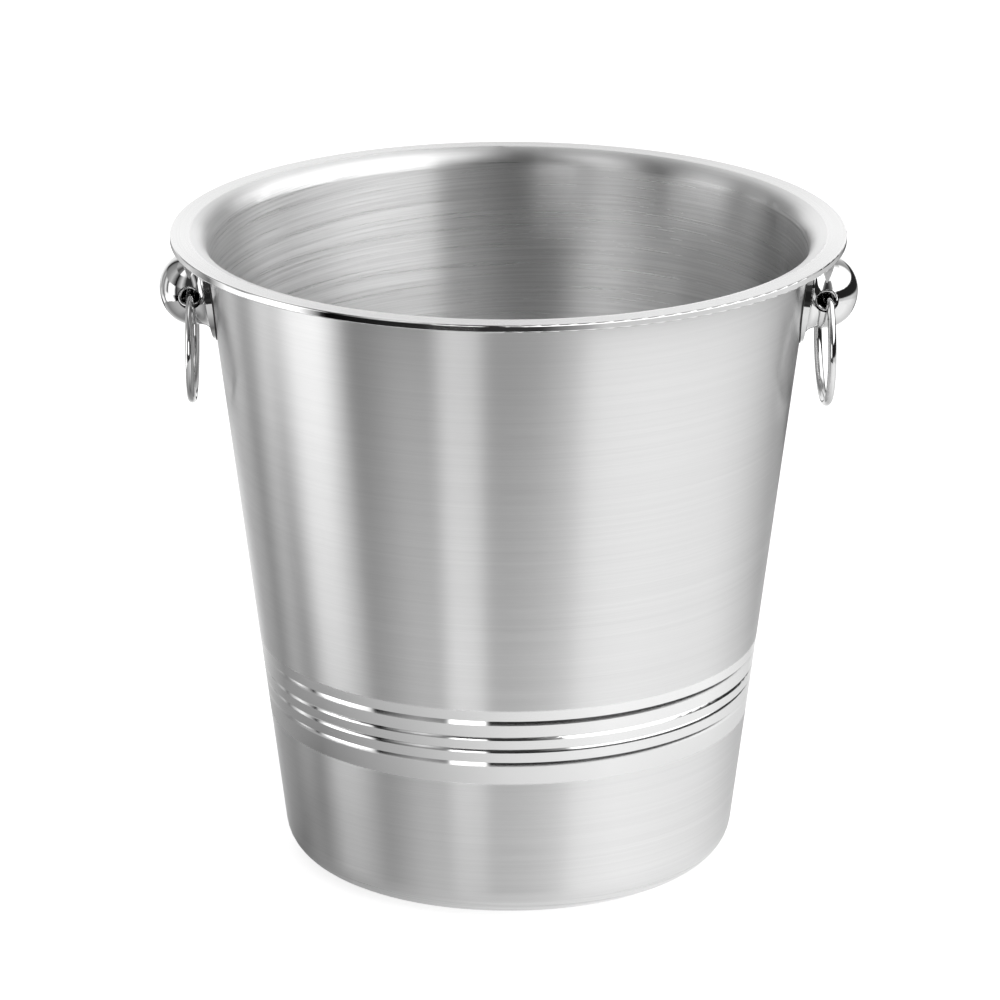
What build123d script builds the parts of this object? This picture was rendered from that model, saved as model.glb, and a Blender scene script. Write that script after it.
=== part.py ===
"""Champagne bucket with two ball knobs and two loose carrying rings.

Millimetres, +Z up. The origin is the middle of the base on the plane it stands on.
+X runs through the right knob; the two knobs lie on the X axis, 180 degrees apart.
"""

from build123d import *

import os
from math import atan, cos, degrees, sin, sqrt

# --- Driving dimensions ------------------------------------------------------------

# Bucket shell: one spun sheet with a tapered wall, a flat flange and a hemmed edge
HEIGHT = 212.5
RIM_OUTER_R = 110.0
WALL_R_AT_BASE = 73.05  # radius of the wall's outer line, carried down to the base plane
TAPER = 0.125  # growth of the wall's radius per millimetre of height
SHEET = 1.0
CORNER_R = 11.7  # outside radius of the corner between base and wall
BEND_R = 6.4  # radius of the bend between wall and flange, on its upper face
HEM_HEIGHT = 2.5
HEM_WIDTH = 4.6
HEM_CORNER_R = 0.5  # the folded hem's edge is upright, with rounded corners
RECESS_R = 52.0  # the middle of the base is pressed up, so that only a ring touches
RECESS_RUN = 3.0
RECESS_HEIGHT = 1.5

# Grooves rolled into the lower wall: height of the sloping side's middle, its run, the
# depth, and how far the slope bulges outward. The two outer grooves are shallower.
GROOVES = [
    (56.4, 1.3, 0.385, 0.034),
    (61.2, 1.2, 0.600, 0.090),
    (65.6, 1.1, 0.600, 0.090),
    (71.1, 1.4, 0.415, 0.036),
]
GROOVE_STEP = 0.2  # run of the steep upper side
RIDGE_HALF = 1.5  # inside, each groove stands out as a rounded ridge

# Knobs: their axis is square to the tapered wall
KNOB_CENTRE_Z = 192.7  # height at which the knob's axis meets the wall's outer face
DOME_START = 5.6  # distances along the knob's axis are measured from that face
DOME_LENGTH = 11.15
DOME_R = 12.05
DOME_FULLNESS = 0.57  # share of each half axis that the dome's curve is pulled along
NECK_PULL = 2.0  # pull of the flared neck's curve below the dome
FLARE_PULL_R = 13.0
FOOT_R = 17.3
FOOT_FLAT_R = 16.7  # the foot's thin lip is flat outside this radius
FOOT_LIP = 0.45
FOOT_TOP_Z = 207.4  # trimmed straight below the bend under the flange
KNOB_SKIN = 1.6  # the knob is a hollow casting
KNOB_FLOOR = 1.8  # height of the hollow's floor above the wall's face

# Eye through each knob, along Y, for its ring
EYE_OFFSET = 6.4  # from the wall's face, along the knob's axis
EYE_R = 2.8
EYE_STRAIGHT_HALF = 10.2  # beyond this the eye's edge is rounded
EYE_LIP_R = 1.6
EYE_CUTTER_HALF = 11.75

# Rings
RING_R = 19.7  # to the middle of the wire
WIRE_R = 1.35
RING_LIFT = 2.5  # the wire's middle stands this far above the eye's axis, in the hollow
RING_YAW = {"left": -1.0, "right": 5.0}  # each ring hangs a little askew in its eye

# Fixing: each knob's own threaded stud, a gasket outside, and a seal, washer and nut inside
GASKET_R = 17.8
GASKET_THICKNESS = 0.35
GASKET_TOP_Z = 207.8
STUD_R = 1.5
STUD_LENGTH = 3.5  # below the wall's outer face
HOLE_R = 2.75
SOFT_HOLE_R = 2.55  # hole in gasket and seal
SEAL_R = 5.5
SEAL_FACE = 1.9  # depth of the seal's flat face below the wall's outer face
WASHER_R = 5.0
WASHER_HOLE_R = 2.65
WASHER_THICKNESS = 0.6
NUT_BARREL_R = 2.5
NUT_BARREL_TOP = 0.3  # the barrel ends this far below the wall's outer face
NUT_HEAD_R = 4.2
NUT_HEAD_EDGE = 0.5
NUT_HEAD_HEIGHT = 2.0
NUT_SLOT_WIDTH = 1.0
NUT_SLOT_DEPTH = 0.7
NUT_BORE_R = 1.52
NUT_BORE_END = 3.6  # depth of the blind bore's end below the wall's outer face

CUTTER_DEPTH = 6.0  # how far cutters run past the faces that they cut

# --- Derived values ----------------------------------------------------------------

LEAN = atan(TAPER)  # lean of the wall from the vertical
SKIN = SHEET / cos(LEAN)  # sheet thickness measured level
CORNER_CENTRE = (WALL_R_AT_BASE + TAPER * CORNER_R - CORNER_R / cos(LEAN), CORNER_R)
BEND_CENTRE_Z = HEIGHT - BEND_R
BEND_CENTRE_R = WALL_R_AT_BASE + TAPER * BEND_CENTRE_Z + (BEND_R - SHEET) / cos(LEAN)

KNOB_PLANE = Plane(
    origin=(WALL_R_AT_BASE + TAPER * KNOB_CENTRE_Z, 0, KNOB_CENTRE_Z),
    x_dir=(0, 1, 0),
    z_dir=(cos(LEAN), 0, -sin(LEAN)),
)
EYE_CENTRE = KNOB_PLANE.from_local_coords((0, 0, EYE_OFFSET))


# --- Helpers -----------------------------------------------------------------------


def wall(z, depth=0.0):
    """Point of the wall's outer line at height z, moved square into the sheet by depth."""
    return (WALL_R_AT_BASE + TAPER * z - depth * cos(LEAN), z + depth * sin(LEAN))


def around(centre, radius, angle):
    """Point on a circle; the angle is in radians from the direction of growing radius."""
    return (centre[0] + radius * cos(angle), centre[1] + radius * sin(angle))


def bend_arc(radius):
    """Arc of the bend under the flange, from the wall up to the level stretch."""
    centre = (BEND_CENTRE_R, BEND_CENTRE_Z)
    return CenterArc(centre, radius, 90, 90 - degrees(LEAN))


def turned(outline):
    """Solid turned about the Z axis from a closed outline of radius and height."""
    return revolve(Plane.XZ * make_face(outline), Axis.Z)


def on_wall(part, side):
    """Bring a piece from the knob's own axes to the right or the left of the bucket."""
    placed = KNOB_PLANE.location * part
    return placed if side == "right" else Rot(0, 0, 180) * placed


# --- Bucket shell ------------------------------------------------------------------


def groove_line(height, run, groove_depth, bulge):
    """Groove in the wall's outer face: a sloping side that faces up, and a step above it."""
    middle = wall(height, groove_depth / 2 - bulge)
    bottom = wall(height + run / 2, groove_depth)
    slope = ThreePointArc(wall(height - run / 2), middle, bottom)
    return slope + Line(bottom, wall(height + run / 2 + GROOVE_STEP))


def ridge_line(height, groove_depth):
    """Rounded ridge on the wall's inner face, behind a groove."""
    top = wall(height, SHEET + groove_depth)
    return ThreePointArc(wall(height - RIDGE_HALF, SHEET), top, wall(height + RIDGE_HALF, SHEET))


def sheet_face(depth, marks):
    """Face of the sheet that lies depth below the outer one, from the base corner to the bend."""
    corner_r = CORNER_R - depth
    line = CenterArc(CORNER_CENTRE, corner_r, -90, 90 - degrees(LEAN))
    start = around(CORNER_CENTRE, corner_r, -LEAN)
    for mark in marks:
        line += Line(start, mark @ 0)
        line += mark
        start = mark @ 1
    bend = bend_arc(BEND_R - SHEET + depth)
    return line + Line(start, bend @ 1) + bend


def make_bucket_shell():
    hem_inner = RIM_OUTER_R - HEM_WIDTH
    hem_bottom = HEIGHT - HEM_HEIGHT
    corner_r = RIM_OUTER_R - HEM_CORNER_R
    corner_low = hem_bottom + HEM_CORNER_R
    corner_high = HEIGHT - HEM_CORNER_R
    under_flange = HEIGHT - SHEET

    outer = sheet_face(0, [groove_line(*groove) for groove in GROOVES])
    inner = sheet_face(SHEET, [ridge_line(height, groove_depth) for height, _, groove_depth, _ in GROOVES])
    flange = Polyline(
        (BEND_CENTRE_R, under_flange),
        (hem_inner, under_flange),
        (hem_inner, hem_bottom),
        (corner_r, hem_bottom),
    )
    edge = CenterArc((corner_r, corner_low), HEM_CORNER_R, -90, 90)
    edge += Line((RIM_OUTER_R, corner_low), (RIM_OUTER_R, corner_high))
    edge += CenterArc((corner_r, corner_high), HEM_CORNER_R, 0, 90)
    flat_top = Line((corner_r, HEIGHT), (BEND_CENTRE_R, HEIGHT))
    base = Polyline(
        (CORNER_CENTRE[0], SHEET),
        (RECESS_R + RECESS_RUN, SHEET),
        (RECESS_R, SHEET + RECESS_HEIGHT),
        (0, SHEET + RECESS_HEIGHT),
        (0, RECESS_HEIGHT),
        (RECESS_R, RECESS_HEIGHT),
        (RECESS_R + RECESS_RUN, 0),
        (CORNER_CENTRE[0], 0),
    )
    shell = turned(outer + flange + edge + flat_top + inner + base)
    hole = Pos(0, 0, -CUTTER_DEPTH) * Cylinder(HOLE_R, 2 * CUTTER_DEPTH)
    for side in ("left", "right"):
        shell -= on_wall(hole, side)
    return shell


def trimmed(part, top_z):
    """Part cut off level at a height."""
    above = Box(3 * RIM_OUTER_R, RIM_OUTER_R, HEIGHT, align=(Align.CENTER, Align.CENTER, Align.MIN))
    return part - Pos(0, 0, top_z) * above


def skirt(offset):
    """Solid filled out to a surface that lies offset outside the upper wall and its bend."""
    low_z = KNOB_CENTRE_Z - GASKET_R - CUTTER_DEPTH
    bend = bend_arc(BEND_R - SHEET - offset)
    low = wall(low_z, -offset)
    outline = Line((0, low[1]), low) + Line(low, bend @ 1) + bend
    top = bend @ 0
    return turned(outline + Polyline((top.X, top.Y), (0, top.Y), (0, low[1])))


# --- Knobs and rings ---------------------------------------------------------------


def dome_line(inset):
    """Quarter line of the dome, from its foot to its tip, inset from the outer face."""
    radius = DOME_R - inset
    length = DOME_LENGTH - inset
    return Bezier(
        (radius, DOME_START),
        (radius, DOME_START + DOME_FULLNESS * length),
        (DOME_FULLNESS * radius, DOME_START + length),
        (0, DOME_START + length),
    )


def knob_outline():
    """Half section of a knob about its axis: foot lip, flared neck and oval dome."""
    tip = DOME_START + DOME_LENGTH
    lip_top = GASKET_THICKNESS + FOOT_LIP
    flare = Bezier(
        (FOOT_FLAT_R, lip_top),
        (FLARE_PULL_R, lip_top),
        (DOME_R, DOME_START - NECK_PULL),
        (DOME_R, DOME_START),
    )
    foot = Polyline(
        (0, tip),
        (0, -CUTTER_DEPTH),
        (FOOT_R, -CUTTER_DEPTH),
        (FOOT_R, lip_top),
        (FOOT_FLAT_R, lip_top),
    )
    return flare + dome_line(0) + foot


def hollow_outline():
    """Half section of the hollow inside a knob."""
    radius = DOME_R - KNOB_SKIN
    tip = DOME_START + DOME_LENGTH - KNOB_SKIN
    sides = Polyline((0, tip), (0, KNOB_FLOOR), (radius, KNOB_FLOOR), (radius, DOME_START))
    return dome_line(KNOB_SKIN) + sides


def eye_cutter():
    """Straight eye with rounded edges at both ends, along the knob's local X."""
    reach = EYE_CUTTER_HALF - EYE_STRAIGHT_HALF
    mouth_r = EYE_R + EYE_LIP_R - sqrt(EYE_LIP_R**2 - reach**2)
    lip_right = RadiusArc((EYE_STRAIGHT_HALF, EYE_R), (EYE_CUTTER_HALF, mouth_r), EYE_LIP_R)
    lip_left = RadiusArc((-EYE_CUTTER_HALF, mouth_r), (-EYE_STRAIGHT_HALF, EYE_R), EYE_LIP_R)
    tool_end = FOOT_R + CUTTER_DEPTH
    outline = lip_left + Line((-EYE_STRAIGHT_HALF, EYE_R), (EYE_STRAIGHT_HALF, EYE_R)) + lip_right
    outline += Polyline(
        (EYE_CUTTER_HALF, mouth_r),
        (tool_end, mouth_r),
        (tool_end, 0),
        (-tool_end, 0),
        (-tool_end, mouth_r),
        (-EYE_CUTTER_HALF, mouth_r),
    )
    return Pos(0, 0, EYE_OFFSET) * revolve(make_face(outline), Axis.X)


def make_knob(side):
    solid = turned(knob_outline()) - turned(hollow_outline()) - eye_cutter()
    body = trimmed(on_wall(solid, side), FOOT_TOP_Z) - skirt(GASKET_THICKNESS)
    stud_height = STUD_LENGTH + GASKET_THICKNESS + FOOT_LIP
    stud = Pos(0, 0, stud_height / 2 - STUD_LENGTH) * Cylinder(STUD_R, stud_height)
    return body + on_wall(stud, side)


def make_ring(side):
    turn = 1 if side == "right" else -1
    drop = RING_R - RING_LIFT
    centre = Pos(turn * EYE_CENTRE.X, 0, EYE_CENTRE.Z - drop)
    return centre * Rot(0, 0, turn * RING_YAW[side]) * Rot(0, 90, 0) * Torus(RING_R, WIRE_R)


# --- Fixing pieces -----------------------------------------------------------------


def make_gasket(side):
    disc = Cylinder(GASKET_R, 2 * CUTTER_DEPTH) - Cylinder(SOFT_HOLE_R, 2 * CUTTER_DEPTH)
    layer = (skirt(GASKET_THICKNESS) - skirt(0)) & on_wall(disc, side)
    return trimmed(layer, GASKET_TOP_Z)


def make_seal(side):
    """Soft ring inside: it follows the wall on one face and is flat on the other."""
    depth = SEAL_FACE + CUTTER_DEPTH
    disc = Cylinder(SEAL_R, depth) - Cylinder(SOFT_HOLE_R, depth)
    placed = on_wall(Pos(0, 0, depth / 2 - SEAL_FACE) * disc, side)
    low_z = KNOB_CENTRE_Z - GASKET_R
    inner_low = (wall(low_z)[0] - SKIN, low_z)
    inner_high = (wall(BEND_CENTRE_Z)[0] - SKIN, BEND_CENTRE_Z)
    inside = Polyline((0, low_z), inner_low, inner_high, (0, BEND_CENTRE_Z), (0, low_z))
    return placed & turned(inside)


def make_washer(side):
    disc = Cylinder(WASHER_R, WASHER_THICKNESS) - Cylinder(WASHER_HOLE_R, WASHER_THICKNESS)
    return on_wall(Pos(0, 0, -SEAL_FACE - WASHER_THICKNESS / 2) * disc, side)


def make_nut(side):
    """Slotted nut with a low domed head, and a barrel that goes out through the hole."""
    barrel_height = SEAL_FACE + WASHER_THICKNESS - NUT_BARREL_TOP
    bore_depth = NUT_BORE_END - NUT_BARREL_TOP
    rise = NUT_HEAD_HEIGHT - NUT_HEAD_EDGE
    dome_r = (NUT_HEAD_R**2 + rise**2) / (2 * rise)
    dome = Pos(0, 0, NUT_HEAD_HEIGHT - dome_r) * Sphere(dome_r)
    head = Pos(0, 0, NUT_HEAD_HEIGHT / 2) * Cylinder(NUT_HEAD_R, NUT_HEAD_HEIGHT) & dome
    slot_z = NUT_HEAD_HEIGHT - NUT_SLOT_DEPTH / 2
    slot = Pos(0, 0, slot_z) * Box(3 * NUT_HEAD_R, NUT_SLOT_WIDTH, NUT_SLOT_DEPTH)
    barrel = Pos(0, 0, -barrel_height / 2) * Cylinder(NUT_BARREL_R, barrel_height)
    bore = Pos(0, 0, bore_depth / 2 - barrel_height) * Cylinder(NUT_BORE_R, bore_depth)
    nut = head + barrel - slot - bore
    return on_wall(Pos(0, 0, -SEAL_FACE - WASHER_THICKNESS) * Rot(180, 0, 0) * nut, side)


# --- Export ------------------------------------------------------------------------


def main():
    os.makedirs("parts", exist_ok=True)
    pieces = {"bucket_shell": make_bucket_shell()}
    makers = {
        "knob": make_knob,
        "ring": make_ring,
        "foot_gasket": make_gasket,
        "inner_seal": make_seal,
        "inner_washer": make_washer,
        "barrel_nut": make_nut,
    }
    for name, make in makers.items():
        for side in ("left", "right"):
            pieces[f"{name}_{side}"] = make(side)
    for name, piece in pieces.items():
        export_step(piece, f"parts/{name}.step")
        box = piece.bounding_box()
        print(f"{name}: {len(piece.solids())} solid(s), {piece.volume:.1f} mm3, {box}")
    print(f"eye centre: {EYE_CENTRE}")


main()
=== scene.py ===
"""Champagne bucket: materials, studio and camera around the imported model. Metres, +Z up.

The shell is spun steel, brushed round its axis, with a polished band that carries four
rolled grooves. The knobs and rings are mirror polished. The bucket stands on a pale floor,
and its steel mirrors a pale table top and a room of soft boxes and dark places.
"""

import math

import bpy
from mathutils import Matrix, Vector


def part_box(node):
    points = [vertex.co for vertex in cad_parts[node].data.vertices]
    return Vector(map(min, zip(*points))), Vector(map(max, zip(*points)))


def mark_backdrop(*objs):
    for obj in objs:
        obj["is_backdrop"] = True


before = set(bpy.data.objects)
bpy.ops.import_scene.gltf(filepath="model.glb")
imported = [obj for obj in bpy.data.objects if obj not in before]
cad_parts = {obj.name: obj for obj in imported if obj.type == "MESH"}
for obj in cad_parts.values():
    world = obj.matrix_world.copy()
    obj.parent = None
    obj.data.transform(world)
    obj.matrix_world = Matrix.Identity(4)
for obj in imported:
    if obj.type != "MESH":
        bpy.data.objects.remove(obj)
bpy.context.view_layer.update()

# --- Sizes, from the frame ---------------------------------------------------------

MM = 0.001
SHELL_TOP_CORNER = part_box("bucket_shell")[1]
HEIGHT = SHELL_TOP_CORNER.z
RIM_R = SHELL_TOP_CORNER.x
FLAT_TOP_LOW = HEIGHT - 0.05 * MM  # only the flat top of the flange lies above this
HEM_LOW = HEIGHT - 2.6 * MM
HEM_R = RIM_R - 0.55 * MM  # the hem's upright edge and its corners lie outside this
WALL_TAPER = 0.125  # growth of the wall's radius with height
MIDDLE_R = 72.25 * MM  # radius of the middle of the sheet, carried down to the base plane
BAND = (49.5 * MM, 75.5 * MM)  # the polished band, from the floor
BAND_EDGE = 0.5 * MM

# --- Steel -------------------------------------------------------------------------

STEEL_LEVEL = 0.70  # brightness of what the brushed steel mirrors
BRUSHED_ROUGHNESS = 0.27
POLISHED_ROUGHNESS = 0.10  # the band
HEM_ROUGHNESS = 0.05
FLAT_TOP_ROUGHNESS = 0.24
TURNING_LINES = (14.0, 2600.0)  # scale of the lines round the axis and across it, per metre
INSIDE_SCRATCHES = (9.0, 1000.0)
SCRATCH_TILT = (0.035, -0.05, 0.0)  # radians off level
RELIEF = 0.05 * MM  # height of the brushing and of the polish's waves
KNOB_LEVEL, KNOB_ROUGHNESS = 0.60, 0.045
RING_LEVEL, RING_ROUGHNESS = 0.58, 0.05

# --- Camera ------------------------------------------------------------------------

CAMERA_AWAY = 1.9131
CAMERA_HEIGHT = 0.7520
CAMERA_TURN = 1.0  # degrees round the bucket, towards its right knob
CAMERA_PITCH = 18.293  # degrees below the horizontal
CAMERA_LENS = 219.85
CAMERA_SENSOR = 36.0
CAMERA_SHIFT_X = -0.00845

# --- Studio ------------------------------------------------------------------------

FLOOR_R = 12.0
TABLE_R = 0.45  # the table top that the steel mirrors
TABLE_NEAR_R, TABLE_FAR_R = 0.12, 0.24
ROOM_SOFT = 2.0  # degrees of softness where two layers meet
FULL_LEVEL = 3.0  # the highest level of any stop

# Light round the bucket as (azimuth, level) stops. Azimuth is in degrees, 0 towards the
# camera and growing towards +X. First the table top, close to the bucket and further out.
TABLE_NEAR = [(-180, 0.9), (-150, 0.43), (-110, 0.41), (-80, 0.20), (-40, 0.49), (0, 0.95),
              (40, 1.15), (90, 1.0), (135, 0.76), (180, 0.9)]
TABLE_FAR = [(-180, 1.1), (-150, 0.93), (-110, 0.32), (-80, 0.61), (-40, 0.81), (0, 1.03),
             (40, 1.38), (90, 1.40), (135, 0.85), (180, 1.1)]

# Then the room, in layers that begin at the given elevations in degrees: soft boxes with
# hard sides at the left, a dark place with one narrow box in front, a bright right side.
ROOM = [
    (-90, [(-180, 0.0), (-150, 0.0), (-138, 1.79), (-126, 0.89), (-121, 0.04), (-117, 0.90),
           (-109, 3.0), (-98, 2.14), (-87, 1.75), (-76, 3.0), (-64.5, 0.0), (-27, 0.0),
           (-24, 0.1), (-10, 0.0), (12, 0.06), (28, 1.1), (33, 1.4), (110, 1.3), (150, 0.8),
           (165, 0.0), (180, 0.0)]),
    (-20, [(-180, 0.1), (-138, 0.9), (-121, 0.2), (-109, 1.6), (-76, 1.8), (-64.5, 0.0),
           (12, 0.05), (28, 0.5), (33, 0.8), (110, 1.0), (150, 0.6), (165, 0.1), (180, 0.1)]),
    (-13, [(-180, 1.2), (-150, 1.2), (-138, 0.40), (-126, 0.67), (-121, 0.26), (-117, 0.58),
           (-109, 1.42), (-98, 0.0), (-87, 3.0), (-76, 3.0), (-64.5, 1.29), (-61.5, 0.0),
           (-40, 0.40), (-27, 0.30), (-24, 3.0), (-10, 2.48), (-8, 0.02), (12, 0.02),
           (158, 0.03), (166, 1.2), (180, 1.2)]),
    (10, [(-180, 1.2), (-150, 1.2), (-138, 0.0), (-126, 0.35), (-109, 0.44), (-87, 0.77),
          (-64.5, 0.0), (-61.5, 0.0), (-40, 1.0), (-27, 0.20), (-24, 0.05), (14, 0.05),
          (28, 0.4), (33, 2.3), (60, 2.9), (110, 2.6), (132, 1.6), (138, 0.45), (158, 0.7),
          (166, 1.2), (180, 1.2)]),
    (45, [(-180, 0.45), (-150, 0.45), (-109, 0.64), (-87, 0.1), (-64.5, 0.31), (-61.5, 1.9),
          (-40, 1.6), (-27, 0.4), (-24, 0.05), (-8, 0.05), (12, 0.35), (28, 2.0), (60, 2.3),
          (110, 2.2), (135, 0.5), (158, 0.3), (180, 0.45)]),
]


class Graph:
    """Short calls for a node tree. A value is a number, a tuple or another node's output."""

    def __init__(self, tree):
        self.tree = tree
        tree.nodes.clear()

    def node(self, kind, inputs=None, **settings):
        made = self.tree.nodes.new(kind)
        for name, value in settings.items():
            setattr(made, name, value)
        for name, value in (inputs or {}).items():
            self.put(made.inputs[name], value)
        return made

    def put(self, socket, value):
        if isinstance(value, bpy.types.NodeSocket):
            self.tree.links.new(value, socket)
        elif value is not None:
            socket.default_value = value

    def math(self, operation, a, b=None, c=None):
        inputs = {i: value for i, value in enumerate((a, b, c)) if value is not None}
        return self.node("ShaderNodeMath", inputs, operation=operation).outputs[0]

    def scaled(self, value, *from_to):
        """Value carried smoothly from the first range to the second, and held at its ends."""
        names = ("From Min", "From Max", "To Min", "To Max")
        inputs = {"Value": value, **dict(zip(names, from_to))}
        made = self.node("ShaderNodeMapRange", inputs, interpolation_type="SMOOTHSTEP")
        return made.outputs["Result"]

    def band(self, value, low, high, soft):
        """1 between low and high, 0 outside, with soft edges."""
        rise = self.scaled(value, low - soft, low + soft, 0.0, 1.0)
        fall = self.scaled(value, high - soft, high + soft, 1.0, 0.0)
        return self.math("MULTIPLY", rise, fall)

    def mix(self, factor, a, b):
        """Number a where the factor is 0, b where it is 1."""
        made = self.node("ShaderNodeMix", {0: factor, 2: a, 3: b}, data_type="FLOAT")
        return made.outputs[0]

    def tint(self, factor, a, b):
        """Colour a where the factor is 0, b where it is 1."""
        made = self.node("ShaderNodeMix", {0: factor, 6: a, 7: b}, data_type="RGBA")
        return made.outputs[2]

    def round_light(self, azimuth, stops):
        """Straight runs through (azimuth, level) stops, from -180 to 180 degrees."""
        share = self.math("MULTIPLY_ADD", azimuth, 1 / 360, 0.5)
        ramp = self.node("ShaderNodeValToRGB", {"Fac": share})
        elements = ramp.color_ramp.elements
        while len(elements) < len(stops):
            elements.new(0.5)
        for element, (at, level) in zip(elements, stops):
            element.position = at / 360 + 0.5
            element.color = grey(level / FULL_LEVEL)
        return self.math("MULTIPLY", ramp.outputs["Color"], FULL_LEVEL)

    def noise(self, vector, scale, detail=2.0, roughness=0.5):
        inputs = {"Vector": vector, "Scale": scale, "Detail": detail, "Roughness": roughness}
        return self.node("ShaderNodeTexNoise", inputs).outputs["Fac"]


def grey(level):
    return (level, level, level, 1.0)


def new_material(name):
    material = bpy.data.materials.new(name)
    material.use_nodes = True
    return material, Graph(material.node_tree)


def shader(graph, inputs):
    """Principled shader joined to the output."""
    principled = graph.node("ShaderNodeBsdfPrincipled", inputs)
    graph.node("ShaderNodeOutputMaterial", {"Surface": principled.outputs[0]})


def azimuth_of(graph, x, y):
    """Degrees round the bucket, 0 towards the camera and growing towards +X."""
    turn = graph.math("ARCTAN2", x, graph.math("MULTIPLY", y, -1.0))
    return graph.math("DEGREES", turn)


def radius_of(graph, x, y):
    """Distance from the Z axis."""
    return graph.math("SQRT", graph.math("MULTIPLY_ADD", x, x, graph.math("MULTIPLY", y, y)))


def object_place(graph):
    return graph.node("ShaderNodeTexCoord").outputs["Object"]


def bumped(graph, height, strength, distance=RELIEF):
    """Normal over a relief of the given height."""
    inputs = {"Height": height, "Strength": strength, "Distance": distance}
    return graph.node("ShaderNodeBump", inputs).outputs[0]


# --- Materials ---------------------------------------------------------------------


def turning_lines(graph, place, along, across):
    """Coordinates drawn out round the Z axis, so that noise makes turning lines.

    along and across are the lines' scales round the axis and across it, per metre.
    Returns the coordinates, the radius and the height.
    """
    x, y, z = graph.node("ShaderNodeSeparateXYZ", {"Vector": place}).outputs
    radius = radius_of(graph, x, y)
    profile = graph.math("MULTIPLY", graph.math("ADD", z, radius), across)
    inputs = {
        "X": graph.math("MULTIPLY", x, along),
        "Y": graph.math("MULTIPLY", y, along),
        "Z": profile,
    }
    return graph.node("ShaderNodeCombineXYZ", inputs).outputs[0], radius, z


def brushed_shell():
    """Steel brushed round its axis: polished on the band and the hem's edge, satin on top.

    The inside carries coarser lines that run a little off level.
    """
    material, graph = new_material("brushed_shell")
    place = object_place(graph)
    lines, radius, z = turning_lines(graph, place, *TURNING_LINES)
    middle = graph.math("MULTIPLY_ADD", z, WALL_TAPER, MIDDLE_R)
    outside = graph.math("GREATER_THAN", radius, middle)
    inside = graph.math("SUBTRACT", 1.0, outside)
    band = graph.math("MULTIPLY", graph.band(z, *BAND, BAND_EDGE), outside)
    hem = graph.math("MULTIPLY", graph.math("GREATER_THAN", z, HEM_LOW),
                     graph.math("GREATER_THAN", radius, HEM_R))
    polished = graph.math("MAXIMUM", band, hem)
    polish = graph.mix(hem, POLISHED_ROUGHNESS, HEM_ROUGHNESS)
    flat_top = graph.math("SUBTRACT", graph.math("GREATER_THAN", z, FLAT_TOP_LOW), hem)
    flat_top = graph.math("MAXIMUM", flat_top, 0.0)

    fine = graph.noise(lines, 1.0, 3.0, 0.6)
    middling = graph.noise(lines, 0.3, 2.0, 0.6)
    broad = graph.noise(lines, 0.12, 2.0, 0.5)
    tilted = graph.node("ShaderNodeMapping", {"Vector": place, "Rotation": SCRATCH_TILT})
    marks = turning_lines(graph, tilted.outputs[0], *INSIDE_SCRATCHES)[0]
    scratches = graph.scaled(graph.noise(marks, 1.0, 4.0, 0.7), 0.35, 0.65, -1.0, 1.0)
    scratches = graph.math("MULTIPLY", scratches, inside)

    brushed = graph.math("MULTIPLY_ADD", fine, 0.10, BRUSHED_ROUGHNESS)
    brushed = graph.math("MULTIPLY_ADD", broad, 0.06, brushed)
    brushed = graph.math("MULTIPLY_ADD", scratches, 0.02, brushed)
    brushed = graph.math("MULTIPLY_ADD", inside, -0.05, brushed)
    roughness = graph.mix(flat_top, graph.mix(polished, brushed, polish), FLAT_TOP_ROUGHNESS)
    dull = graph.math("SUBTRACT", 1.0, polished)
    shade = graph.math("MULTIPLY_ADD", fine, 0.08, -0.04)
    shade = graph.math("MULTIPLY_ADD", graph.math("SUBTRACT", middling, 0.5), 0.07, shade)
    shade = graph.math("MULTIPLY_ADD", scratches, 0.06, shade)
    level = graph.math("MULTIPLY_ADD", shade, dull, STEEL_LEVEL)
    height = graph.math("MULTIPLY", graph.math("ADD", fine, scratches), dull)
    shader(graph, {
        "Base Color": graph.tint(level, grey(0.0), grey(1.0)),
        "Metallic": 1.0,
        "Roughness": roughness,
        "Anisotropic": 1.0,
        "Anisotropic Rotation": 0.25,
        "Normal": bumped(graph, height, 0.15),
    })
    return material


def mirror_steel(name, level, roughness):
    """Mirror polish with a faint haze and a few soft waves."""
    material, graph = new_material(name)
    place = object_place(graph)
    haze = graph.noise(place, 260.0, 3.0, 0.6)
    waves = graph.noise(place, 55.0, 1.0, 0.4)
    shader(graph, {
        "Base Color": graph.tint(haze, grey(level - 0.02), grey(level + 0.02)),
        "Metallic": 1.0,
        "Roughness": graph.math("MULTIPLY_ADD", haze, 0.03, roughness),
        "Normal": bumped(graph, waves, 0.2),
    })
    return material


def black_rubber():
    """Matt rubber with a fine grain."""
    material, graph = new_material("black_rubber")
    place = object_place(graph)
    grain = graph.noise(place, 1800.0, 3.0, 0.6)
    shader(graph, {
        "Base Color": graph.tint(grain, grey(0.012), grey(0.022)),
        "Roughness": graph.math("MULTIPLY_ADD", grain, 0.15, 0.5),
        "Specular IOR Level": 0.4,
        "Normal": bumped(graph, grain, 0.3),
    })
    return material


def steel_fixing():
    """Bright machined steel with a fine grain."""
    material, graph = new_material("steel_fixing")
    place = object_place(graph)
    grain = graph.noise(place, 1200.0, 3.0, 0.6)
    shader(graph, {
        "Base Color": graph.tint(grain, grey(0.58), grey(0.68)),
        "Metallic": 1.0,
        "Roughness": graph.math("MULTIPLY_ADD", grain, 0.12, 0.18),
        "Normal": bumped(graph, grain, 0.12, 0.04 * MM),
    })
    return material


def paint(material, *nodes):
    for name in nodes:
        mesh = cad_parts[name].data
        mesh.materials.clear()
        mesh.materials.append(material)


def both(*names):
    """Names of the left and right nodes of each kind."""
    return [f"{name}_{side}" for name in names for side in ("left", "right")]


# --- Studio ------------------------------------------------------------------------


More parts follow.
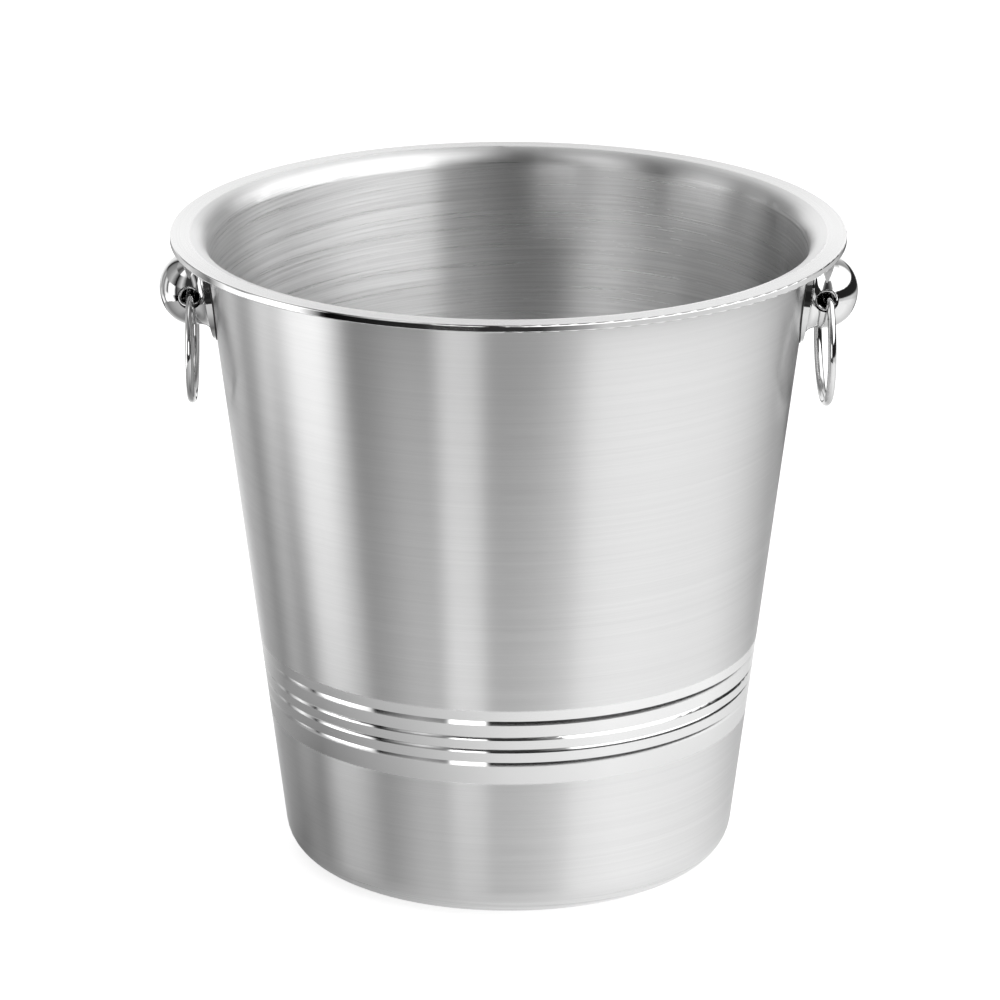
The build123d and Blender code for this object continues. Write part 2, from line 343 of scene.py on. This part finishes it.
def make_disc(name, radius, z, corners):
    """Flat level disc about the Z axis, facing up."""
    points = [
        (radius * math.cos(math.tau * i / corners), radius * math.sin(math.tau * i / corners), z)
        for i in range(corners)
    ]
    mesh = bpy.data.meshes.new(name)
    mesh.from_pydata(points, [], [tuple(range(corners))])
    made = bpy.data.objects.new(name, mesh)
    bpy.context.scene.collection.objects.link(made)
    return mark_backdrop(made) or made


def show_to(thing, camera=False, diffuse=False, glossy=False):
    """Kinds of ray that see the thing."""
    thing.visible_camera = camera
    thing.visible_diffuse = diffuse
    thing.visible_glossy = glossy
    thing.visible_transmission = camera
    thing.visible_shadow = camera
    thing.visible_volume_scatter = False


def make_floor():
    """Plain pale floor. Its own glow keeps the shadow faint."""
    floor = make_disc("floor", FLOOR_R, 0.0, 96)
    material, graph = new_material("floor")
    shader(graph, {
        "Base Color": grey(0.5),
        "Roughness": 0.9,
        "Specular IOR Level": 0.0,
        "Emission Color": grey(1.0),
        "Emission Strength": 0.7,
    })
    floor.data.materials.append(material)
    show_to(floor, camera=True, diffuse=True)


def make_table_top():
    """The pale table top as the steel mirrors it."""
    top = make_disc("table_top", TABLE_R, 0.05 * MM, 96)
    material, graph = new_material("table_top")
    place = object_place(graph)
    x, y, _ = graph.node("ShaderNodeSeparateXYZ", {"Vector": place}).outputs
    azimuth = azimuth_of(graph, x, y)
    out = graph.scaled(radius_of(graph, x, y), TABLE_NEAR_R, TABLE_FAR_R, 0.0, 1.0)
    level = graph.mix(out, graph.round_light(azimuth, TABLE_NEAR),
                      graph.round_light(azimuth, TABLE_FAR))
    emission = graph.node("ShaderNodeEmission", {"Color": grey(1.0), "Strength": level})
    graph.node("ShaderNodeOutputMaterial", {"Surface": emission.outputs[0]})
    top.data.materials.append(material)
    show_to(top, glossy=True)


def make_world():
    """The room for the steel to mirror, and plain white to everything else."""
    world = bpy.data.worlds.new("studio")
    world.use_nodes = True
    bpy.context.scene.world = world
    graph = Graph(world.node_tree)
    direction = graph.node("ShaderNodeTexCoord").outputs["Generated"]
    x, y, z = graph.node("ShaderNodeSeparateXYZ", {"Vector": direction}).outputs
    azimuth = azimuth_of(graph, x, y)
    elevation = graph.math("DEGREES", graph.math("ARCSINE", z))
    total = None
    for start, stops in ROOM:
        layer = graph.round_light(azimuth, stops)
        share = graph.scaled(elevation, start - ROOM_SOFT, start + ROOM_SOFT, 0.0, 1.0)
        total = layer if total is None else graph.mix(share, total, layer)

    path = graph.node("ShaderNodeLightPath")
    seen = graph.math("MAXIMUM", path.outputs["Is Camera Ray"], path.outputs["Is Diffuse Ray"])
    strength = graph.mix(seen, total, 1.0)
    background = graph.node("ShaderNodeBackground", {"Color": grey(1.0), "Strength": strength})
    graph.node("ShaderNodeOutputWorld", {"Surface": background.outputs[0]})


def make_camera():
    data = bpy.data.cameras.new("camera")
    data.lens = CAMERA_LENS
    data.sensor_width = CAMERA_SENSOR
    data.shift_x = CAMERA_SHIFT_X
    data.clip_end = 100.0
    camera = bpy.data.objects.new("camera", data)
    turn = math.radians(CAMERA_TURN)
    x, y = CAMERA_AWAY * math.sin(turn), -CAMERA_AWAY * math.cos(turn)
    camera.location = (x, y, CAMERA_HEIGHT)
    camera.rotation_euler = (math.radians(90.0 - CAMERA_PITCH), 0.0, turn)
    bpy.context.scene.collection.objects.link(camera)
    bpy.context.scene.camera = camera


# --- Scene -------------------------------------------------------------------------

make_camera()
make_floor()
make_table_top()
make_world()
paint(brushed_shell(), "bucket_shell")
paint(mirror_steel("polished_knob", KNOB_LEVEL, KNOB_ROUGHNESS), *both("knob"))
paint(mirror_steel("polished_ring", RING_LEVEL, RING_ROUGHNESS), *both("ring"))
paint(black_rubber(), *both("foot_gasket", "inner_seal"))
paint(steel_fixing(), *both("inner_washer", "barrel_nut"))
bpy.context.scene.view_settings.view_transform = "Standard"
